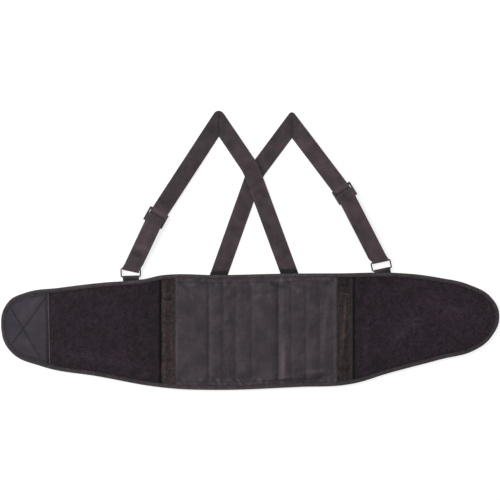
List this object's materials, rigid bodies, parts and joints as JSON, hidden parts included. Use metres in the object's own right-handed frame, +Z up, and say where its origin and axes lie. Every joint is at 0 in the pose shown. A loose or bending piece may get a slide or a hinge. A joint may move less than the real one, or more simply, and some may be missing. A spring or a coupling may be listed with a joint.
{
  "type": "lumbar support belt",
  "caption": "Wide padded lumbar support belt laid flat, inner face up: stayed back panel, elastic gussets, hook-and-loop wings and crossed elastic shoulder straps with sliders and wire rings.",
  "frame": {"origin": "centre of the laid-out belt's bounding box, on the surface it lies on", "axes": "+X along the belt towards the wing without the hook patch; +Y from the belt towards the tops of the shoulder straps; +Z up, out of the belt's inner (body) face"},
  "size_m": [0.9963, 0.5588, 0.007],
  "materials": {
    "inner_nylon": "matt smooth woven nylon",
    "pile_fabric": "matt brushed loop pile",
    "outer_loop_fabric": "matt loop pile",
    "foam": "soft open-cell foam",
    "lining": "matt plain weave",
    "elastic_gusset": "matt ribbed knit",
    "binding_tape": "matt knitted tape",
    "strap_webbing": "matt elastic webbing",
    "hook_tape": "matt moulded hooks",
    "slider_plastic": "satin moulded acetal",
    "stay_plastic": "satin moulded plastic",
    "ring_metal": "satin black coating"
  },
  "bodies": {
    "back_panel": {"panel_outer_cover": "outer_loop_fabric", "panel_foam": "foam", "stay_channel_lining": "lining", "panel_inner_cover": "inner_nylon", "stay_1": "stay_plastic", "stay_2": "stay_plastic", "stay_3": "stay_plastic", "stay_4": "stay_plastic", "left_gusset": "elastic_gusset", "right_gusset": "elastic_gusset", "left_side_outer_fabric": "outer_loop_fabric", "left_side_foam": "foam", "left_side_pile_fabric": "pile_fabric", "right_side_outer_fabric": "outer_loop_fabric", "right_side_foam": "foam", "right_side_pile_fabric": "pile_fabric", "top_edge_tape": "binding_tape", "bottom_edge_tape": "binding_tape", "left_ring_tab": "strap_webbing", "right_ring_tab": "strap_webbing", "left_strap_anchor": "strap_webbing", "right_strap_anchor": "strap_webbing"},
    "left_wing": {"left_wing_top_tape": "binding_tape", "left_wing_bottom_tape": "binding_tape", "left_wing_outer_fabric": "outer_loop_fabric", "left_wing_foam": "foam", "left_wing_pile_fabric": "pile_fabric", "hook_patch": "hook_tape", "hook_patch_edge": "binding_tape"},
    "right_wing": {"right_wing_top_tape": "binding_tape", "right_wing_bottom_tape": "binding_tape", "right_wing_outer_fabric": "outer_loop_fabric", "right_wing_foam": "foam", "right_wing_pile_fabric": "pile_fabric"},
    "suspenders": {"left_strap_back": "strap_webbing", "left_strap_front": "strap_webbing", "left_strap_lower": "strap_webbing", "left_strap_return": "strap_webbing", "left_strap_ring_loop": "strap_webbing", "right_strap_back": "strap_webbing", "right_strap_front": "strap_webbing", "right_strap_lower": "strap_webbing", "right_strap_return": "strap_webbing", "right_strap_ring_loop": "strap_webbing"},
    "left_slider": {"left_slider": "slider_plastic", "left_slider_loop": "strap_webbing"},
    "right_slider": {"right_slider": "slider_plastic", "right_slider_loop": "strap_webbing"},
    "left_ring": {"left_ring": "ring_metal"},
    "right_ring": {"right_ring": "ring_metal"}
  },
  "joints": [
    {"name": "left_wing_wrap", "type": "hinge", "parent": "back_panel", "child": "left_wing", "pos_m": [-0.284, -0.155, 0.0049], "axis": [0, 1, 0], "range_deg": [0, 110]},
    {"name": "right_wing_wrap", "type": "hinge", "parent": "back_panel", "child": "right_wing", "pos_m": [0.306, -0.15, 0.0049], "axis": [0, -1, 0], "range_deg": [0, 110]},
    {"name": "suspenders_fold", "type": "hinge", "parent": "back_panel", "child": "suspenders", "pos_m": [0, -0.0466, 0.0029], "axis": [0.9996, 0.0286, 0], "range_deg": [0, 150]},
    {"name": "left_ring_swing", "type": "hinge", "parent": "back_panel", "child": "left_ring", "pos_m": [-0.238, -0.05341, 0.0029], "axis": [0.9996, 0.0286, 0], "range_deg": [0, 150], "deforming": ["left_ring_tab"]},
    {"name": "right_ring_swing", "type": "hinge", "parent": "back_panel", "child": "right_ring", "pos_m": [0.264, -0.03905, 0.0029], "axis": [0.9996, 0.0286, 0], "range_deg": [0, 150], "deforming": ["right_ring_tab"]},
    {"name": "left_slider_slide", "type": "slide", "parent": "suspenders", "child": "left_slider", "axis": [0.546, 0.8378, 0], "range_m": [0, 0.09]},
    {"name": "right_slider_slide", "type": "slide", "parent": "suspenders", "child": "right_slider", "axis": [-0.6039, 0.7971, 0], "range_m": [0, 0.09]}
  ],
  "couplings": [
    {"joint": "left_ring_swing", "follows": "suspenders_fold", "ratio": 1},
    {"joint": "right_ring_swing", "follows": "suspenders_fold", "ratio": 1}
  ]
}
